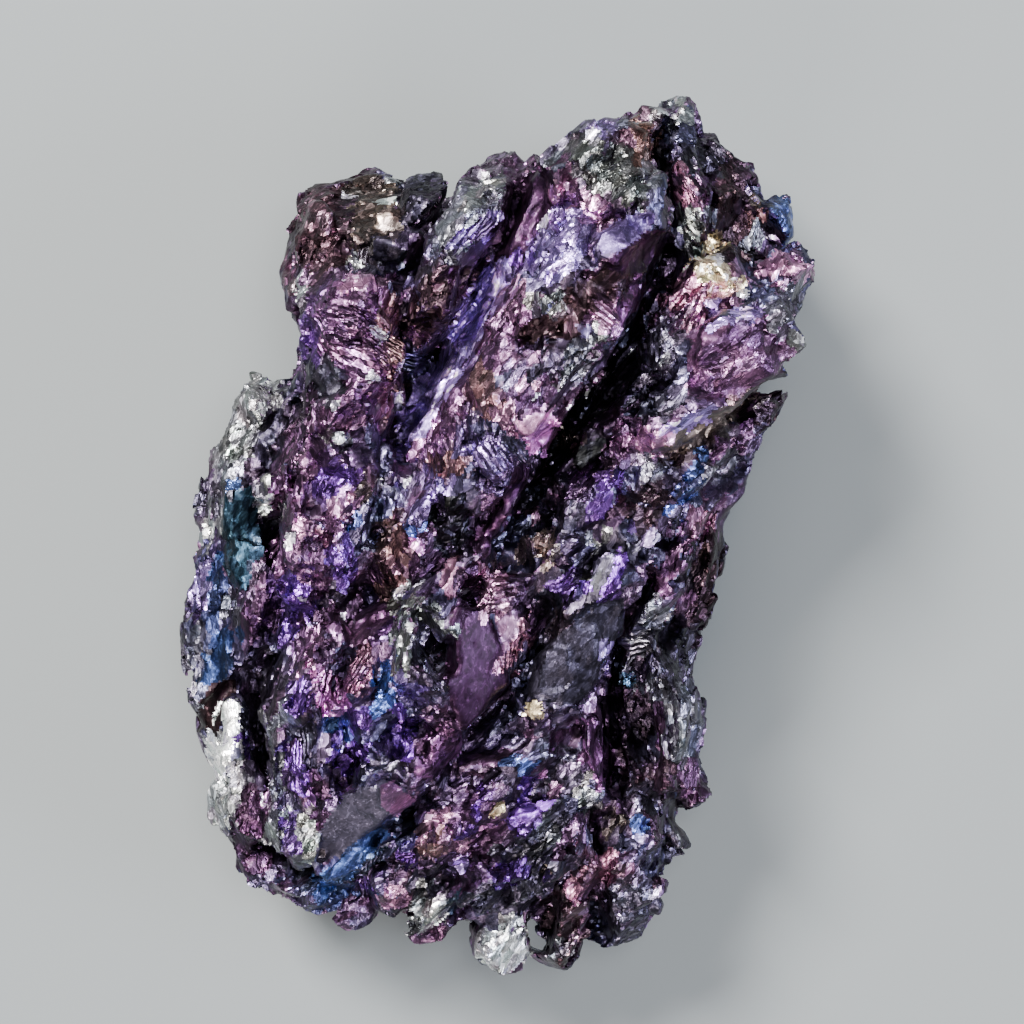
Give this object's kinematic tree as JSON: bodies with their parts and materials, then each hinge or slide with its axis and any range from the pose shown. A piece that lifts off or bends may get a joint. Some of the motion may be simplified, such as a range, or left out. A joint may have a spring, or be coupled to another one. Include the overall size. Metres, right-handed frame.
{
  "type": "mineral specimen",
  "caption": "Chalcocite specimen: one tarnished metallic lump of crystal ribs and blades grown together, lying on its broken back, face up.",
  "frame": {"origin": "centre of the footprint, on the surface that the specimen lies on", "axes": "+Z out of the pictured face, away from the surface; +Y up the pictured face, along the specimen's length; +X to the face's right"},
  "size_m": [0.0318, 0.044, 0.02],
  "materials": {
    "chalcocite": "metallic iridescent tarnish"
  },
  "bodies": {
    "root": {"chalcocite_specimen": "chalcocite"}
  },
  "joints": []
}
